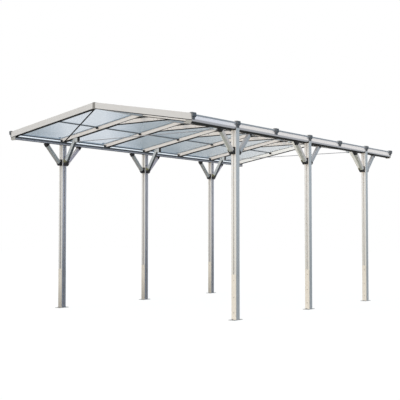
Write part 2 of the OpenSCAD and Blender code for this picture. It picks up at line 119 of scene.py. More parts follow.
def makeDrawnGrain(look):
    # fine lines left along an extruded bar, with a slow change of tone
    group, given, out = newGroup(
        "drawnGrain", [("Along", vectorSocket, (1.0, 1.0, 1.0))],
        [("Lines", floatSocket), ("Tone", floatSocket)])
    place = objectPlace(group)
    stretched = addNode(group, "ShaderNodeVectorMath", operation="MULTIPLY")
    group.links.new(place, stretched.inputs[0])
    group.links.new(given.outputs["Along"], stretched.inputs[1])
    lines = noiseNode(group, stretched.outputs[0], look["lineScale"], look["lineDetail"])
    group.links.new(lines, out.inputs["Lines"])
    group.links.new(noiseNode(group, place, look["toneScale"], look["toneDetail"]), out.inputs["Tone"])
    return group


filmLook = {"base": (0.6, 0.6, 0.6), "dust": (0.5, 0.47, 0.42), "amount": 0.2,
            "upFrom": -0.1, "upTo": 0.9, "sideShare": 0.35, "streaks": (26.0, 26.0, 1.4), "streakDetail": 5.0,
            "blotchScale": 5.0, "blotchDetail": 6.0, "gain": 3.0}


def makeWeatherFilm(look):
    # dust that settles on upward faces and runs down in faint streaks
    group, given, out = newGroup(
        "weatherFilm",
        [("Base", colourSocket, opaque(look["base"])), ("Dust", colourSocket, opaque(look["dust"])),
         ("Amount", floatSocket, look["amount"])],
        [("Color", colourSocket), ("Mask", floatSocket)])
    place = objectPlace(group)
    split = addNode(group, "ShaderNodeSeparateXYZ")
    group.links.new(addNode(group, "ShaderNodeNewGeometry").outputs["Normal"], split.inputs[0])
    upward = rangeNode(group, split.outputs["Z"], look["upFrom"], look["upTo"], look["sideShare"], 1.0)
    streakSpace = addNode(group, "ShaderNodeMapping")
    streakSpace.inputs["Scale"].default_value = look["streaks"]
    group.links.new(place, streakSpace.inputs["Vector"])
    streaks = noiseNode(group, streakSpace.outputs[0], 1.0, look["streakDetail"])
    blotches = noiseNode(group, place, look["blotchScale"], look["blotchDetail"])
    patchy = mathNode(group, "MULTIPLY", mathNode(group, "MULTIPLY", streaks, blotches), look["gain"])
    settled = mathNode(group, "MULTIPLY", patchy, upward)
    amount = addNode(group, "ShaderNodeClamp")
    group.links.new(mathNode(group, "MULTIPLY", settled, given.outputs["Amount"]), amount.inputs["Value"])
    colour = mixColour(group, amount.outputs[0], given.outputs["Base"], given.outputs["Dust"])
    group.links.new(colour, out.inputs["Color"])
    group.links.new(amount.outputs[0], out.inputs["Mask"])
    return group


mouldLook = {"scale": 900.0, "toneScale": 35.0, "toneDetail": 4.0}


def makeMouldTexture(look):
    # fine leathery skin of moulded plastic and rubber
    group, given, out = newGroup(
        "mouldTexture", [("Scale", floatSocket, look["scale"])],
        [("Height", floatSocket), ("Tone", floatSocket)])
    place = objectPlace(group)
    cells = addNode(group, "ShaderNodeTexVoronoi")
    group.links.new(place, cells.inputs["Vector"])
    group.links.new(given.outputs["Scale"], cells.inputs["Scale"])
    group.links.new(cells.outputs["Distance"], out.inputs["Height"])
    group.links.new(noiseNode(group, place, look["toneScale"], look["toneDetail"]), out.inputs["Tone"])
    return group


def makeBandMask():
    # 0 to 1 between two distances from the middle plane square to an axis
    group, given, out = newGroup(
        "bandMask",
        [("Axis", vectorSocket, (0.0, 0.0, 1.0)), ("Low", floatSocket, 0.0), ("High", floatSocket, 1.0)],
        [("Mask", floatSocket)])
    along = addNode(group, "ShaderNodeVectorMath", operation="DOT_PRODUCT")
    group.links.new(objectPlace(group), along.inputs[0])
    group.links.new(given.outputs["Axis"], along.inputs[1])
    distance = mathNode(group, "ABSOLUTE", along.outputs["Value"])
    mask = rangeNode(group, distance, given.outputs["Low"], given.outputs["High"])
    group.links.new(mask, out.inputs["Mask"])
    return group


drawnGrain = makeDrawnGrain(grainLook)
weatherFilm = makeWeatherFilm(filmLook)
mouldTexture = makeMouldTexture(mouldLook)
bandMask = makeBandMask()
print("carport: shared effects ready")


# kinds of material

toneRange = (0.3, 0.7)  # where the noise has most of its values


def placeGroup(tree, group, **values):
    node = addNode(tree, "ShaderNodeGroup", node_tree=group)
    for key, value in values.items():
        node.inputs[key].default_value = value
    return node


def newMaterial(name):
    material = bpy.data.materials.new(name)
    material.use_nodes = True
    return material, material.node_tree, material.node_tree.nodes["Principled BSDF"]


def addBump(tree, shader, height, strength, distance):
    bump = addNode(tree, "ShaderNodeBump")
    bump.inputs["Strength"].default_value = strength
    bump.inputs["Distance"].default_value = distance
    tree.links.new(height, bump.inputs["Height"])
    tree.links.new(bump.outputs["Normal"], shader.inputs["Normal"])


def bandColours(tree, colour, bands):
    # other tones along an axis; most of these bands paint light or shade
    for axis, low, high, tone in bands:
        band = placeGroup(tree, bandMask, Axis=axis, Low=low, High=high)
        colour = mixColour(tree, band.outputs["Mask"], colour, opaque(tone))
    return colour


def dustedColour(tree, shader, tone, look):
    # two tones and their bands under a film of dust; gives the mask of the dust
    share = rangeNode(tree, tone, *toneRange)
    toned = mixColour(tree, share, opaque(look["deep"]), opaque(look["colour"]))
    film = placeGroup(tree, weatherFilm, Amount=look["dust"])
    tree.links.new(bandColours(tree, toned, look.get("bands", ())), film.inputs["Base"])
    tree.links.new(film.outputs["Color"], shader.inputs["Base Color"])
    return film.outputs["Mask"]


barSurface = {"smoother": 0.05, "rougher": 0.07, "dustRough": 0.3, "grainDepth": 0.0004}


def barMetal(name, look):
    material, tree, shader = newMaterial(name)
    grain = placeGroup(tree, drawnGrain, Along=look["along"])
    dust = dustedColour(tree, shader, grain.outputs["Tone"], look)
    shader.inputs["Metallic"].default_value = look["metallic"]
    shader.inputs["Specular IOR Level"].default_value = look["specular"]
    smoothest = look["rough"] - barSurface["smoother"]
    roughest = look["rough"] + barSurface["rougher"]
    rough = rangeNode(tree, grain.outputs["Lines"], *toneRange, smoothest, roughest)
    dusty = mathNode(tree, "MULTIPLY", dust, barSurface["dustRough"])
    tree.links.new(mathNode(tree, "ADD", rough, dusty), shader.inputs["Roughness"])
    addBump(tree, shader, grain.outputs["Lines"], look["bump"], barSurface["grainDepth"])
    # painted light: an emission tone, banded like the colour, stands in for light falling on the surface
    if "paintedGlow" in look:
        paintedGlow = bandColours(tree, opaque(look["paintedGlow"]), look["paintedGlowBands"])
        tree.links.new(paintedGlow, shader.inputs["Emission Color"])
        shader.inputs["Emission Strength"].default_value = look["paintedGlowStrength"]
    return material


plasticSurface = {"roughSpread": 0.06, "bump": 0.25, "skinDepth": 0.0003}


def mouldedPlastic(name, look):
    material, tree, shader = newMaterial(name)
    skin = placeGroup(tree, mouldTexture, Scale=look["scale"])
    dustedColour(tree, shader, skin.outputs["Tone"], look)
    shader.inputs["Specular IOR Level"].default_value = look["specular"]
    smoothest = look["rough"] - plasticSurface["roughSpread"]
    roughest = look["rough"] + plasticSurface["roughSpread"]
    rough = rangeNode(tree, skin.outputs["Tone"], *toneRange, smoothest, roughest)
    tree.links.new(rough, shader.inputs["Roughness"])
    addBump(tree, shader, skin.outputs["Height"], plasticSurface["bump"], plasticSurface["skinDepth"])
    return material


def clearSheet(name, look):
    # clear towards the viewer, smokier at a slant; lets most of the daylight through
    material, tree, shader = newMaterial(name)
    film = placeGroup(tree, weatherFilm, Amount=look["dust"])
    film.inputs["Base"].default_value = opaque(look["colour"])
    film.inputs["Dust"].default_value = opaque(look["dustColour"])
    tree.links.new(film.outputs["Color"], shader.inputs["Base Color"])
    hazy = mathNode(tree, "MULTIPLY", film.outputs["Mask"], look["dustRough"])
    tree.links.new(mathNode(tree, "ADD", hazy, look["rough"]), shader.inputs["Roughness"])
    slant = addNode(tree, "ShaderNodeLayerWeight")
    slant.inputs["Blend"].default_value = look["slantBlend"]
    slanted = rangeNode(tree, slant.outputs["Facing"], look["slantFrom"], look["slantTo"])
    masks = []
    for low, high in look["smoke"]:  # painted reflection: the smokiness is kept to the listed bays, as the reflections differ over the roof
        masks.append(placeGroup(tree, bandMask, Axis=look["smokeAxis"], Low=low, High=high).outputs["Mask"])
    slanted = mathNode(tree, "MULTIPLY", slanted, mathNode(tree, "MAXIMUM", *masks))
    smoky = rangeNode(tree, slanted, 0.0, 1.0, look["clear"], look["smoky"])
    skim = rangeNode(tree, slant.outputs["Facing"], look["skimFrom"], look["skimTo"], 1.0, look["skim"])
    smoky = mathNode(tree, "MULTIPLY", smoky, skim)
    # painted reflection: the smokiness fades towards the rear
    rear = placeGroup(tree, bandMask, Axis=look["smokeAxis"], Low=look["rearFrom"], High=look["rearTo"])
    fading = rangeNode(tree, rear.outputs["Mask"], 0.0, 1.0, 1.0, look["rear"])
    smoky = mathNode(tree, "MULTIPLY", smoky, fading)
    path = addNode(tree, "ShaderNodeLightPath")
    seen = mathNode(tree, "MAXIMUM", path.outputs["Is Camera Ray"], path.outputs["Is Glossy Ray"])
    share = mathNode(tree, "MULTIPLY", mathNode(tree, "SUBTRACT", smoky, look["shade"]), seen)
    body = mathNode(tree, "ADD", share, look["shade"])
    spots = mathNode(tree, "MULTIPLY", film.outputs["Mask"], look["dustBody"])
    tree.links.new(mathNode(tree, "ADD", body, spots), shader.inputs["Alpha"])
    shader.inputs["IOR"].default_value = look["ior"]
    shader.inputs["Specular IOR Level"].default_value = look["specular"]
    shader.inputs["Specular Tint"].default_value = opaque(look["tint"])
    # painted light: the sheet glows, standing in for daylight shining through it
    paintedGlow = mixColour(tree, slanted, opaque(look["clearPaintedGlow"]), opaque(look["smokyPaintedGlow"]))
    tree.links.new(paintedGlow, shader.inputs["Emission Color"])
    shader.inputs["Emission Strength"].default_value = look["paintedGlowStrength"]
    return material


# finishes, with the grain drawn out along each bar; a band is axis, from, to and its tone

alongPost = (1, 1, 0.02)
alongFoot = (1, 1, 0.05)
alongRafter = (0.02, 1, 1)
alongRidge = (1, 0.02, 1)
alongBrace = (0.6, 0.6, 0.3)
evenGrain = (1, 1, 1)
upAxis = (0, 0, 1)
sideAxis = (1, 0, 0)
finishes = {}

# painted shade: the posts are darker near the ground and grow lighter from 0.5 m up to 1.8 m
postLook = {"colour": (0.67, 0.645, 0.60), "deep": (0.63, 0.605, 0.565), "metallic": 0.1, "specular": 0.35,
            "rough": 0.42, "bump": 0.06, "dust": 0.05, "along": alongPost,
            "bands": ((upAxis, 0.5, 1.8, (0.76, 0.735, 0.72)),)}
# a shaded copy of the post metal: painted shade, also darker near the ground
shadedPostLook = dict(postLook, colour=(0.53, 0.515, 0.50), deep=(0.50, 0.485, 0.47),
                    bands=((upAxis, 0.5, 1.5, (0.65, 0.635, 0.62)),))
# painted shade on the side turned to the bay, darker towards the ground
shadeLook = dict(postLook, colour=(0.63, 0.60, 0.64), deep=(0.60, 0.57, 0.61),
                 bands=((upAxis, 1.3, 0.5, (0.27, 0.275, 0.31)),))
# painted shade in the posts' channels
channelLook = dict(postLook, colour=(0.38, 0.365, 0.365), deep=(0.35, 0.335, 0.335), specular=0.3, rough=0.5,
                   bands=())
# painted shade on the foot plates, darker than the uprights
footLook = dict(postLook, colour=(0.75, 0.69, 0.61), deep=(0.715, 0.655, 0.58), rough=0.45, dust=0.06,
                along=alongFoot, bands=((upAxis, 0.0075, 0.0055, (0.30, 0.295, 0.29)),))
# a shaded copy for the left feet: painted shade, darker towards the ground
shadedFootLook = dict(footLook, colour=(0.60, 0.555, 0.49), deep=(0.57, 0.525, 0.465),
                    bands=((upAxis, 0.36, 0.04, (0.37, 0.345, 0.305)),) + footLook["bands"])
finishes.update({
    "post": barMetal("postMetal", postLook),
    "shadedPost": barMetal("shadedPostMetal", shadedPostLook),
    "shade": barMetal("postInnerSide", shadeLook),
    "channel": barMetal("postChannel", channelLook),
    "foot": barMetal("footSteel", footLook),
    "shadedFoot": barMetal("shadedFootSteel", shadedFootLook),
})

rafterLook = {"colour": (0.70, 0.67, 0.655), "deep": (0.67, 0.64, 0.626), "metallic": 0.1, "specular": 0.35,
              "rough": 0.42, "bump": 0.05, "dust": 0.05, "along": alongRafter}
fasciaLook = dict(rafterLook, colour=(0.58, 0.563, 0.557), deep=(0.555, 0.54, 0.533), bump=0.06, dust=0.06)
# painted light: a paler tone for the rear fascia's face towards the bays
litFasciaInnerLook = dict(fasciaLook, colour=(0.82, 0.82, 0.815), deep=(0.79, 0.79, 0.785), dust=0.04)
ridgeLook = dict(fasciaLook, colour=(0.60, 0.595, 0.59), deep=(0.56, 0.555, 0.55), metallic=0.2, rough=0.4,
                 along=alongRidge)
finishes.update({
    "rafter": barMetal("rafterMetal", rafterLook),
    "fascia": barMetal("fasciaMetal", fasciaLook),
    "litFasciaInner": barMetal("litFasciaInnerMetal", litFasciaInnerLook),
    "ridge": barMetal("ridgeMetal", ridgeLook),
})

frontRise = (0, -1, 2)  # grows upward and towards the front
edgeLine = (0, 0.0025, 1)  # the shade line drops a little towards the rear
# heights of the painted shade above and below the bright strip in the trough
troughLip = (2.160, 2.164)
troughFloor = (2.149, 2.144)
endCapLook = {"colour": (0.33, 0.325, 0.31), "deep": (0.30, 0.295, 0.28), "metallic": 0.2, "specular": 0.3,
              "rough": 0.45, "bump": 0.06, "dust": 0.06, "along": evenGrain}
# the gutter's bands are painted: a bluish sky reflection towards the front and top, then shade on the rounded
# lower edge, darkest at the bottom
gutterLook = {"colour": (0.83, 0.80, 0.785), "deep": (0.80, 0.773, 0.76), "metallic": 0.85, "specular": 0.5,
              "rough": 0.28, "bump": 0.02, "dust": 0.03, "along": alongRidge,
              "bands": ((frontRise, 5.8, 6.3, (0.72, 0.74, 0.80)),
                        (edgeLine, 2.134, 2.126, (0.38, 0.385, 0.41)),
                        (edgeLine, 2.111, 2.101, (0.13, 0.13, 0.125)))}
# painted light: the inside of the outer wall is near white and glows, a bright strip between bands of painted
# shade
troughLook = {"colour": (0.90, 0.90, 0.90), "deep": (0.86, 0.86, 0.87), "metallic": 0.3, "specular": 0.5,
              "rough": 0.25, "bump": 0.03, "dust": 0.02, "along": alongRidge,
              "bands": ((upAxis, *troughLip, (0.30, 0.33, 0.36)), (upAxis, *troughFloor, (0.10, 0.10, 0.10))),
              "paintedGlow": (0.82, 0.88, 0.94), "paintedGlowStrength": 0.7,
              "paintedGlowBands": ((upAxis, *troughLip, (0.18, 0.23, 0.28)),
                            (upAxis, *troughFloor, (0.06, 0.065, 0.07)))}
# painted shade: a darker bluish tone on the face towards the bay, with a shade line along its top
gutterInnerShadeLook = {"colour": (0.52, 0.51, 0.55), "deep": (0.49, 0.48, 0.52), "metallic": 0.3, "specular": 0.3,
                   "rough": 0.4, "bump": 0.04, "dust": 0.03, "along": alongRidge,
                   "bands": ((upAxis, 2.112, 2.115, (0.12, 0.12, 0.125)),)}
# painted shade: the underside is near black
gutterUnderShadeLook = {"colour": (0.085, 0.082, 0.075), "deep": (0.072, 0.070, 0.064), "metallic": 0.0,
                   "specular": 0.05, "rough": 0.7, "bump": 0.04, "dust": 0.02, "along": alongRidge}
finishes.update({
    "endCap": barMetal("endCapMetal", endCapLook),
    "gutter": barMetal("gutterMetal", gutterLook),
    "trough": barMetal("troughMetal", troughLook),
    "gutterInnerShade": barMetal("gutterInnerShadeMetal", gutterInnerShadeLook),
    "gutterUnderShade": barMetal("gutterUndersideShade", gutterUnderShadeLook),
})

# lit and shaded copies of one brace metal, put on the braces side by side
braceLook = {"colour": (0.52, 0.51, 0.51), "deep": (0.49, 0.48, 0.48), "metallic": 0.15, "specular": 0.35,
             "rough": 0.42, "bump": 0.05, "dust": 0.05, "along": alongBrace}
# painted shade on the left braces
shadedBraceLook = dict(braceLook, colour=(0.56, 0.54, 0.505), deep=(0.53, 0.51, 0.475), metallic=0.1,
                     specular=0.25, rough=0.48)
# painted light on the under and front sides of the right braces
braceFrontLook = dict(braceLook, colour=(0.82, 0.80, 0.69), deep=(0.78, 0.76, 0.655), metallic=0.1, dust=0.04)
braceSideLook = dict(braceFrontLook, colour=(0.79, 0.675, 0.60), deep=(0.75, 0.64, 0.57))
# painted shade on the rear and inward sides of the left braces
braceRearLook = dict(shadedBraceLook, colour=(0.73, 0.63, 0.67), deep=(0.70, 0.60, 0.64), dust=0.04)
braceInwardLook = dict(braceRearLook, colour=(0.48, 0.51, 0.53), deep=(0.455, 0.485, 0.505))
litInwardLook = dict(braceRearLook, colour=(0.63, 0.63, 0.60), deep=(0.60, 0.60, 0.57))
# painted shade on the upper sides of the braces, under the gutter; the cross ties share this dark tone
braceTopLook = dict(braceLook, colour=(0.36, 0.365, 0.39), deep=(0.335, 0.34, 0.365), metallic=0.0,
                    specular=0.2, rough=0.5, dust=0.06)
# painted shade on the undersides of the inward braces
braceLowLook = dict(braceLook, colour=(0.20, 0.20, 0.20), deep=(0.17, 0.17, 0.17), metallic=0.0,
                    specular=0.1, rough=0.6, dust=0.03)
finishes.update({
    "brace": barMetal("braceMetal", braceLook),
    "shadedBrace": barMetal("shadedBraceMetal", shadedBraceLook),
    "braceLow": barMetal("braceUnderside", braceLowLook),
    "braceTop": barMetal("braceUpperSide", braceTopLook),
    "braceFront": barMetal("braceOpenSide", braceFrontLook),
    "braceSide": barMetal("braceOuterSide", braceSideLook),
    "braceRear": barMetal("braceRearSide", braceRearLook),
    "braceInward": barMetal("braceInwardSide", braceInwardLook),
    "litInward": barMetal("braceLitInwardSide", litInwardLook),
})

slateLook = {"colour": (0.115, 0.125, 0.14), "deep": (0.09, 0.10, 0.112), "rough": 0.5, "scale": 700.0,
             "dust": 0.05, "specular": 0.3}
purlinLook = dict(slateLook, colour=(0.17, 0.185, 0.20), deep=(0.145, 0.16, 0.172), dust=0.03)
ridgeCapLook = dict(slateLook, colour=(0.21, 0.20, 0.19), deep=(0.19, 0.18, 0.17), dust=0.04)
trimLook = dict(slateLook, colour=(0.10, 0.107, 0.118), deep=(0.08, 0.087, 0.097), rough=0.45, dust=0.03,
                specular=0.35, bands=((sideAxis, 1.34, 1.36, (0.45, 0.44, 0.445)),))
blackLook = {"colour": (0.022, 0.022, 0.024), "deep": (0.014, 0.014, 0.015), "rough": 0.55, "scale": 900.0,
             "dust": 0.03, "specular": 0.2}
# black of the strips under the rafters and collars: partly their own black, partly painted shade of the
# undersides; rods and purlin fittings share it
coverLook = dict(blackLook, rough=0.7, dust=0.02, specular=0.05)
cheekLook = dict(blackLook, colour=(0.22, 0.22, 0.135), deep=(0.195, 0.195, 0.12),
                 bands=((upAxis, 1.876, 1.868, blackLook["colour"]),))
rubberLook = dict(blackLook, colour=(0.52, 0.52, 0.52), deep=(0.48, 0.48, 0.48), rough=0.6, specular=0.15)
finishes.update({
    "slate": mouldedPlastic("slatePlastic", slateLook),
    "purlin": mouldedPlastic("purlinPlastic", purlinLook),
    "ridgeCap": mouldedPlastic("ridgeCapPlastic", ridgeCapLook),
    "trim": mouldedPlastic("trimStrip", trimLook),
    "black": mouldedPlastic("blackPlastic", blackLook),
    "cover": mouldedPlastic("coverStrip", coverLook),
    "cheek": mouldedPlastic("bracketCheek", cheekLook),
    "seal": mouldedPlastic("sealRubber", rubberLook),
})

panelLook = {"colour": (0.10, 0.14, 0.18), "dustColour": (0.62, 0.62, 0.60), "dust": 0.006, "dustRough": 0.4,
             "dustBody": 0.2, "rough": 0.35, "specular": 0.15, "ior": 1.58, "tint": (0.72, 0.88, 1.0),
             "clear": 0.26, "smoky": 0.565, "shade": 0.05,
             "slantBlend": 0.5, "slantFrom": 0.68, "slantTo": 0.745,
             "smokeAxis": (0.493, 1.0, 4.0), "smoke": ((7.31, 8.06), (6.56, 5.91)),
             "skimFrom": 0.86, "skimTo": 0.93, "skim": 0.35, "rearFrom": 8.66, "rearTo": 11.16, "rear": 0.47,
             "clearPaintedGlow": (0.105, 0.205, 0.315), "smokyPaintedGlow": (0.118, 0.170, 0.205), "paintedGlowStrength": 1.0}
screwLook = {"colour": (0.52, 0.48, 0.43), "deep": (0.46, 0.43, 0.385), "metallic": 0.3, "specular": 0.4,
             "rough": 0.4, "bump": 0.05, "dust": 0.05, "along": evenGrain}
zincLook = dict(screwLook, colour=(0.40, 0.40, 0.41), deep=(0.30, 0.30, 0.31), metallic=0.8, specular=0.5,
                rough=0.38)
finishes.update({
    "panel": clearSheet("clearPanel", panelLook),
    "screw": barMetal("screwSteel", screwLook),
    "zinc": barMetal("zincSteel", zincLook),
})
print("carport:", len(finishes), "finishes made")


# places worked out from the frame

layout = {"pitch": 9.75, "baysPerSide": 3, "baysPerPost": 2, "rafterDepth": 0.068}
bothWays = (-1, 1)
pitch = math.radians(layout["pitch"])
frameSteps = range(-layout["baysPerSide"], layout["baysPerSide"] + 1)  # counted in bays from the middle
innerSteps = frameSteps[1:-1]
postSteps = (-layout["baysPerPost"], 0, layout["baysPerPost"])
posts = [(side, step) for side in bothWays for step in postSteps]
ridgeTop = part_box("ridge_beam")[1].z
postLow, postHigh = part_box("post_front_right")
postX = (postLow.x + postHigh.x) / 2
postHalf = (postHigh.x - postLow.x) / 2
postInner = postX - postHalf
postSpacing = -(postLow.y + postHigh.y) / 2  # the middle post stands at zero
bay = postSpacing / layout["baysPerPost"]
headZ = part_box("gutter_right")[0].z


def rafterUnder(x):
    # height of the rafters' lower edge
    return ridgeTop - layout["rafterDepth"] - x * math.tan(pitch)


# finishes on the nodes; the first start that fits counts

finishOfNode = (
    ("roof_panels", "panel"),
    ("post_feet_left", "shadedFoot"),
    ("post_feet", "foot"),
    ("post_", "post"),
    ("rafters_", "rafter"),
    ("end_frame", "fascia"),
    ("collar_bars", "rafter"),
    ("rafter_covers", "cover"),
    ("collar_covers", "cover"),
    ("gutter_trims", "trim"),
    ("gutter_end_caps", "endCap"),
    ("gutter_", "gutter"),
    ("braces_left", "shadedBrace"),
    ("braces_", "brace"),
    ("cross_ties", "braceTop"),
    ("ridge_brackets", "black"),
    ("purlin_fittings", "cover"),
    ("rafter_seats", "black"),
    ("brace_brackets", "black"),
    ("roof_rods", "cover"),
    ("ridge_end_caps", "ridgeCap"),
    ("ridge_beam", "ridge"),
    ("purlins_", "purlin"),
    ("", "slate"))
facing = {"leans": 0.3, "faces": 0.5, "square": 0.9}  # shares of a face's normal


def addFinishes(piece, roles):
    # more finishes for some faces; gives the slot number of each
    slots = {}
    for role, key in roles.items():
        slots[role] = len(piece.data.materials)
        piece.data.materials.append(finishes[key])
    return slots


gutterZones = {"under": -0.6, "inner": 0.1, "outerWall": 1.36}


def gutterFaces(gutter, zones):
    # outer face keeps the gutter metal; underside and face towards the bay take painted shade, and the trough
    # painted light between painted shade
    slots = addFinishes(gutter, {"under": "gutterUnderShade", "inner": "gutterInnerShade", "trough": "trough"})
    for face in gutter.data.polygons:
        outward = face.normal.x * math.copysign(1.0, face.center.x)
        if face.normal.z < zones["under"]:
            face.material_index = slots["under"]
        elif outward < -facing["faces"] and abs(face.center.x) > zones["outerWall"]:
            face.material_index = slots["trough"]
        elif outward < zones["inner"]:
            face.material_index = slots["inner"]


# painted shade: the left posts take a shaded copy, and every post is darker in its channels and on its +X
# side
postSides = {"left": {"faces": "shadedPost", "channels": "channel", "rightSide": "shade"},
             "right": {"faces": "post", "channels": "shadedPost", "rightSide": "shadedPost"}}
channelDepth = 0.001  # faces deeper than this are in a channel


def postFaces(postName, roles):
    # plain faces, and the painted shade of the channels and of the side that faces +X
    post = nodes[postName]
    low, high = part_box(postName)
    middle = (low + high) / 2
    post.data.materials.clear()
    slots = addFinishes(post, roles)
    for face in post.data.polygons:
        out = max(abs(face.center.x - middle.x), abs(face.center.y - middle.y))
        if out < postHalf - channelDepth:
            face.material_index = slots["channels"]
        elif face.normal.x > facing["faces"]:
            face.material_index = slots["rightSide"]


allBraces = {"inwardUnder": "braceLow", "top": "braceTop"}
braceSides = {"left": {"inward": "braceInward", "under": "shadedBrace",
                       "front": "shadedBrace", "rear": "braceRear"},
              "right": {"inward": "litInward", "under": "braceFront",
                        "front": "braceSide", "rear": "brace"}}


def braceFaces(braces, roles):
    # each side of a brace takes its own painted light or shade, after how the roof's edge shades it
    slots = addFinishes(braces, roles)
    for face in braces.data.polygons:
        tilt = face.normal.z
        towardsBay = -face.normal.x * math.copysign(1.0, face.center.x)
        postY = postSpacing * round(face.center.y / postSpacing)
        if tilt > facing["leans"]:
            face.material_index = slots["top"]
        elif tilt < -facing["leans"]:
            face.material_index = slots["inwardUnder"] if towardsBay > facing["leans"] else slots["under"]
        elif abs(face.center.x) < postInner:
            face.material_index = slots["inward"]
        else:
            face.material_index = slots["front"] if face.center.y < postY else slots["rear"]


def capFaces(caps):
    # dark rims round the gutter ends
    slots = addFinishes(caps, {"rim": "slate"})
    for face in caps.data.polygons:
        if abs(face.normal.y) < facing["faces"]:
            face.material_index = slots["rim"]


def fasciaFaces(fascia):
    # painted light: the rear fascia is paler towards the bays
    slots = addFinishes(fascia, {"inner": "litFasciaInner"})
    for face in fascia.data.polygons:
        if face.normal.y < -facing["faces"]:
            face.material_index = slots["inner"]


bracketSplit = 2.0  # height between the brackets at the feet and at the heads of the braces


def bracketFaces(brackets):
    # on the inward braces the cheeks are duller at the foot, and at the head take the brace's painted shade
    # tone
    slots = addFinishes(brackets, {"foot": "cheek", "head": "braceInward"})
    for face in brackets.data.polygons:
        if abs(face.center.x) < postInner and abs(face.normal.y) > facing["square"]:
            face.material_index = slots["foot"] if face.center.z < bracketSplit else slots["head"]


for nodeName, nodeObject in nodes.items():
    finishKey = next(value for start, value in finishOfNode if nodeName.startswith(start))
    nodeObject.data.materials.clear()
    nodeObject.data.materials.append(finishes[finishKey])
capFaces(nodes["gutter_end_caps"])
fasciaFaces(nodes["end_frame_rear"])
for sideName in ("left", "right"):
    gutterFaces(nodes["gutter_" + sideName], gutterZones)
    braceFaces(nodes["braces_" + sideName], {**allBraces, **braceSides[sideName]})
    bracketFaces(nodes["brace_brackets_" + sideName])
    for placeName in ("front", "middle", "rear"):
        postFaces("post_" + placeName + "_" + sideName, postSides[sideName])
print("carport: finishes on", len(nodes), "nodes")


# added pieces, and the heads of screws and bolts

def finishPiece(bm, name, finish):
    bmesh.ops.recalc_face_normals(bm, faces=bm.faces)
    mesh = bpy.data.meshes.new(name)
    bm.to_mesh(mesh)
    bm.free()
    mesh.materials.append(finishes[finish])
    piece = bpy.data.objects.new(name, mesh)
    scene.collection.objects.link(piece)
    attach(piece, "root")


def addLathe(bm, place, turn, sides, profile):
    rings = []
    for radius, height in profile:
        ring = []
        for step in range(sides):
            angle = 2 * math.pi * step / sides
            local = Vector((radius * math.cos(angle), radius * math.sin(angle), height))
            ring.append(bm.verts.new(place + turn @ local))
        rings.append(ring)
    for lower, upper in zip(rings, rings[1:]):
        for step in range(sides):
            after = (step + 1) % sides
            bm.faces.new((lower[step], lower[after], upper[after], upper[step]))
    bm.faces.new(list(reversed(rings[0])))
    bm.faces.new(rings[-1])


domeShape = {"sides": 18, "angles": (0.25, 0.6, 0.95, 1.2),
             "drive": 0.3, "driveTaper": 0.9, "driveFloor": 0.45}


def domeHead(look):
    # round head with a sunk drive
    radius, height = look["radius"], look["stand"]
    dome = [(radius * math.cos(angle), height * math.sin(angle)) for angle in domeShape["angles"]]
    drive = radius * domeShape["drive"]
    sunk = [(drive, height), (drive * domeShape["driveTaper"], height * domeShape["driveFloor"])]
    return [(domeShape["sides"], [(radius, 0.0)] + dome + sunk)]


hexShape = {"washerSides": 24, "washerRim": 1.45, "washerTop": 1.38, "washerEdge": 0.7,
            "sides": 6, "headTop": 0.86, "headEdge": 0.85}


def hexHead(look):
    # washer, then a six-sided head with its corners turned off
    radius, height, washer = look["radius"], look["height"], look["washer"]
    rim = radius * hexShape["washerRim"]
    plate = [(rim, 0.0), (rim, washer * hexShape["washerEdge"]), (radius * hexShape["washerTop"], washer)]
    head = [(radius, washer), (radius, washer + height * hexShape["headEdge"]),
            (radius * hexShape["headTop"], washer + height)]
    return [(hexShape["washerSides"], plate), (hexShape["sides"], head)]


def addFasteners(name, look, spots):
    bm = bmesh.new()
    parts = hexHead(look) if "washer" in look else domeHead(look)
    for place, out in spots:
        turn = Vector(upAxis).rotation_difference(Vector(out)).to_matrix()
        for sides, profile in parts:
            addLathe(bm, Vector(place), turn, sides, profile)
    finishPiece(bm, name, look["finish"])


# places of screws and bolts: a point on the surface and the way out of it

footScrews = {"heights": (0.083, 0.25, 0.44), "plate": 0.0033, "radius": 0.0075, "stand": 0.003,
              "finish": "screw", "slot": "foot_steel"}


def footScrewSpots(look):
    out = postHalf + look["plate"]
    return [((side * postX, step * bay + turn * out, height), (0, turn, 0))
            for side, step in posts for turn in bothWays for height in look["heights"]]


anchorBolts = {"spacing": 0.122, "plate": 0.005, "radius": 0.0095, "height": 0.007, "washer": 0.0025,
               "finish": "zinc", "slot": "foot_steel"}


def anchorBoltSpots(look):
    out = look["spacing"] / 2
    return [((side * postX, step * bay + turn * out, look["plate"]), upAxis)
            for side, step in posts for turn in bothWays]


clipScrews = {"out": 0.011, "rise": 0.042, "radius": 0.0055, "stand": 0.0025,
              "finish": "slate", "slot": "slate_trim"}


def clipScrewSpots(look):
    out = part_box("gutter_right")[1].x + look["out"]
    return [((side * out, step * bay, headZ + look["rise"]), (side, 0, 0))
            for side in bothWays for step in frameSteps]


capScrews = {"x": (1.310, 1.352), "radius": 0.004, "stand": 0.0015, "finish": "zinc", "slot": "foot_steel"}


def capScrewSpots(look):
    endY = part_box("gutter_end_caps")[1].y
    return [((side * x, end * endY, headZ), (0, end, 0))
            for side in bothWays for end in bothWays for x in look["x"]]


seatBolts = {"x": 1.349, "rise": 0.014, "side": 0.0273, "radius": 0.0065, "stand": 0.0035,
             "finish": "black", "slot": "black_plastic"}


def seatBoltSpots(look):
    z = rafterUnder(look["x"]) + look["rise"]
    return [((side * look["x"], step * bay + turn * look["side"], z), (0, turn, 0))
            for side in bothWays for step in innerSteps for turn in bothWays]


collarBolts = {"x": (0.19, 0.25), "side": 0.020, "radius": 0.005, "stand": 0.0025,
               "finish": "zinc", "slot": "foot_steel"}


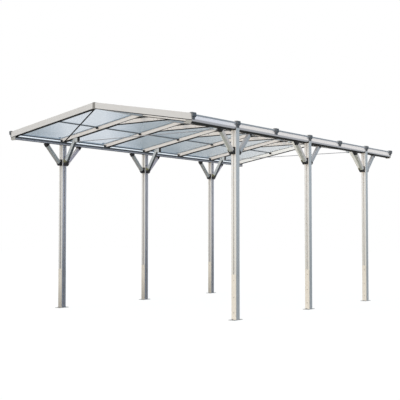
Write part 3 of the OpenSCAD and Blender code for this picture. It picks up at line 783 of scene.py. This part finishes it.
def collarBoltSpots(look):
    # half way between the collar's lower edge and the rafter's
    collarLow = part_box("collar_bars")[0].z
    return [((side * x, step * bay + turn * look["side"], (collarLow + rafterUnder(x)) / 2), (0, turn, 0))
            for side in bothWays for step in innerSteps for turn in bothWays for x in look["x"]]


postBolts = {"heights": (1.945, 2.065), "radius": 0.0085, "stand": 0.004,
             "finish": "black", "slot": "black_plastic"}


def postBoltSpots(look):
    return [((side * postInner, step * bay, height), (-side, 0, 0))
            for side, step in posts for height in look["heights"]]


braceBolts = {"reach": 0.27, "inward": 0.198, "plate": 0.01, "half": 0.02, "socket": 0.003,
              "footAlong": 0.012, "headAlong": -0.003, "radius": 0.0065, "stand": 0.0035,
              "finish": "black", "slot": "black_plastic"}


def braceBoltSpots(look):
    # middle of each socket, on both cheeks
    spots = []
    foot = Vector((0, headZ - look["reach"]))
    heads = {"along": Vector((look["reach"], headZ)),
             "inward": Vector((look["inward"], rafterUnder(postInner - look["inward"])))}
    cheek = look["half"] + look["socket"]
    for key, head in heads.items():
        run = (head - foot).normalized()
        low = foot + run * ((look["plate"] + look["half"] * run.y) / run.x + look["footAlong"])
        high = head - run * ((look["plate"] + look["half"] * run.x) / run.y + look["headAlong"])
        sockets = [(side, step, socket) for side, step in posts for socket in (low, high)]
        for side, step, (reach, height) in sockets:
            for turn in bothWays:
                if key == "inward":
                    place = (side * (postInner - reach), step * bay + turn * cheek, height)
                    spots.append((place, (0, turn, 0)))
                    continue
                for way in bothWays:
                    place = (side * postX + turn * cheek, step * bay + way * (postHalf + reach), height)
                    spots.append((place, (turn, 0, 0)))
    return spots


addFasteners("footScrews", footScrews, footScrewSpots(footScrews))
addFasteners("anchorBolts", anchorBolts, anchorBoltSpots(anchorBolts))
addFasteners("clipScrews", clipScrews, clipScrewSpots(clipScrews))
addFasteners("capScrews", capScrews, capScrewSpots(capScrews))
addFasteners("seatBolts", seatBolts, seatBoltSpots(seatBolts))
addFasteners("collarBolts", collarBolts, collarBoltSpots(collarBolts))
addFasteners("postBolts", postBolts, postBoltSpots(postBolts))
addFasteners("braceBolts", braceBolts, braceBoltSpots(braceBolts))
print("carport: fasteners placed")


# rubber seals along the panel edges

panelSeals = {"from": 0.024, "to": 1.356, "flange": 0.028, "box": 0.020, "endFace": 0.022,
              "upper": ((0, -0.0083), (0.0042, -0.0083), (0.0037, -0.0064), (0.0022, -0.0051), (0, -0.0044)),
              "lower": ((0, -0.0147), (0.0034, -0.0147), (0.0030, -0.0166), (0.0016, -0.0180), (0, -0.0186)),
              "finish": "seal", "slot": "black_plastic"}


def onSlope(side, x, y, n):
    # a point over or under the roof's surface: x level, n square to the slope
    along = (x - n * math.sin(pitch)) / math.cos(pitch)
    return Vector((side * x, y, ridgeTop - along * math.sin(pitch) + n * math.cos(pitch)))


def addStrip(bm, look, side, y, turn, profile):
    ends = []
    for x in (look["from"], look["to"]):
        ends.append([bm.verts.new(onSlope(side, x, y + turn * out, n)) for out, n in profile])
    count = len(profile)
    for step in range(count):
        after = (step + 1) % count
        bm.faces.new((ends[0][step], ends[0][after], ends[1][after], ends[1][step]))
    bm.faces.new(ends[0])
    bm.faces.new(list(reversed(ends[1])))


def buildSeals(look):
    bm = bmesh.new()
    for side in bothWays:
        for step in frameSteps:
            inner = step in innerSteps
            turns = bothWays if inner else (-math.copysign(1, step),)
            top = look["flange"] if inner else look["endFace"]
            low = look["box"] if inner else look["endFace"]
            for turn in turns:
                addStrip(bm, look, side, step * bay + turn * top, turn, look["upper"])
                addStrip(bm, look, side, step * bay + turn * low, turn, look["lower"])
    finishPiece(bm, "panelSeals", look["finish"])


buildSeals(panelSeals)
print("carport: seals laid along the rafters")


# floor, light and camera

def isSeen(tree):
    path = addNode(tree, "ShaderNodeLightPath")
    seen = mathNode(tree, "MAXIMUM", path.outputs["Is Camera Ray"], path.outputs["Is Glossy Ray"])
    return mathNode(tree, "MAXIMUM", seen, path.outputs["Is Transmission Ray"])


floorLook = {"size": 60.0, "drop": 0.0005, "seen": (1.0, 1.0, 1.0), "bounce": (0.10, 0.10, 0.10),
             "lit": (0.9, 0.9, 0.9), "shadowShare": 0.12}


def buildFloor(look):
    half = look["size"] / 2
    corners = [(-half, -half, 0), (half, -half, 0), (half, half, 0), (-half, half, 0)]
    mesh = bpy.data.meshes.new("floor")
    mesh.from_pydata(corners, [], [(0, 1, 2, 3)])
    floor = bpy.data.objects.new("floor", mesh)
    floor.location.z = -look["drop"]
    scene.collection.objects.link(floor)
    material, tree, shader = newMaterial("paleFloor")
    tree.nodes.remove(shader)
    bounce = addNode(tree, "ShaderNodeBsdfDiffuse")
    bounce.inputs["Color"].default_value = opaque(look["bounce"])
    lit = addNode(tree, "ShaderNodeBsdfDiffuse")
    lit.inputs["Color"].default_value = opaque(look["lit"])
    white = addNode(tree, "ShaderNodeEmission")
    white.inputs["Color"].default_value = opaque(look["seen"])
    shown = addNode(tree, "ShaderNodeMixShader")
    shown.inputs[0].default_value = look["shadowShare"]
    tree.links.new(white.outputs[0], shown.inputs[1])
    tree.links.new(lit.outputs[0], shown.inputs[2])
    either = addNode(tree, "ShaderNodeMixShader")
    tree.links.new(isSeen(tree), either.inputs[0])
    tree.links.new(bounce.outputs[0], either.inputs[1])
    tree.links.new(shown.outputs[0], either.inputs[2])
    tree.links.new(either.outputs[0], tree.nodes["Material Output"].inputs["Surface"])
    mesh.materials.append(material)


skyLook = {"seen": (1.0, 1.0, 1.0), "light": (0.70, 0.86, 1.0), "strength": 1.08}


def buildSky(look):
    world = bpy.data.worlds.new("studioSky")
    scene.world = world
    world.use_nodes = True
    tree = world.node_tree
    light = tree.nodes["Background"]
    light.inputs["Color"].default_value = opaque(look["light"])
    light.inputs["Strength"].default_value = look["strength"]
    white = addNode(tree, "ShaderNodeBackground")
    white.inputs["Color"].default_value = opaque(look["seen"])
    either = addNode(tree, "ShaderNodeMixShader")
    tree.links.new(isSeen(tree), either.inputs[0])
    tree.links.new(light.outputs[0], either.inputs[1])
    tree.links.new(white.outputs[0], either.inputs[2])
    tree.links.new(either.outputs[0], tree.nodes["World Output"].inputs["Surface"])


sunLook = {"colour": (1.0, 0.86, 0.68), "angle": 24.0, "azimuth": -24.0, "height": 34.0,
           "strength": 0.75, "fill": 1.70}


def buildSun(look, name, strength, shadow):
    lamp = bpy.data.lights.new(name, "SUN")
    lamp.energy = strength
    lamp.color = look["colour"]
    lamp.angle = math.radians(look["angle"])
    lamp.use_shadow = shadow
    sun = bpy.data.objects.new(name, lamp)
    scene.collection.objects.link(sun)
    turn = math.radians(look["azimuth"])
    height = math.radians(look["height"])
    level = math.cos(height)
    towards = Vector((math.sin(turn) * level, -math.cos(turn) * level, math.sin(height)))
    sun.rotation_euler = towards.to_track_quat("Z", "Y").to_euler()


cameraLook = {"place": (6.5623, -9.5021, 0.9478), "turn": 36.044, "tilt": 2.291,
              "lens": 76.365, "sight": 200.0}


def buildCamera(look):
    lens = bpy.data.cameras.new("photoCamera")
    lens.lens = look["lens"]
    lens.clip_end = look["sight"]
    camera = bpy.data.objects.new("photoCamera", lens)
    camera.location = look["place"]
    camera.rotation_euler = (math.radians(90 + look["tilt"]), 0.0, math.radians(look["turn"]))
    scene.collection.objects.link(camera)
    scene.camera = camera


buildFloor(floorLook)
buildSky(skyLook)
buildSun(sunLook, "softSun", sunLook["strength"], True)
buildSun(sunLook, "fillSun", sunLook["fill"], False)  # even light under the roof, as in a studio
buildCamera(cameraLook)
scene.view_settings.view_transform = "Standard"
print("carport: floor, light and camera set")
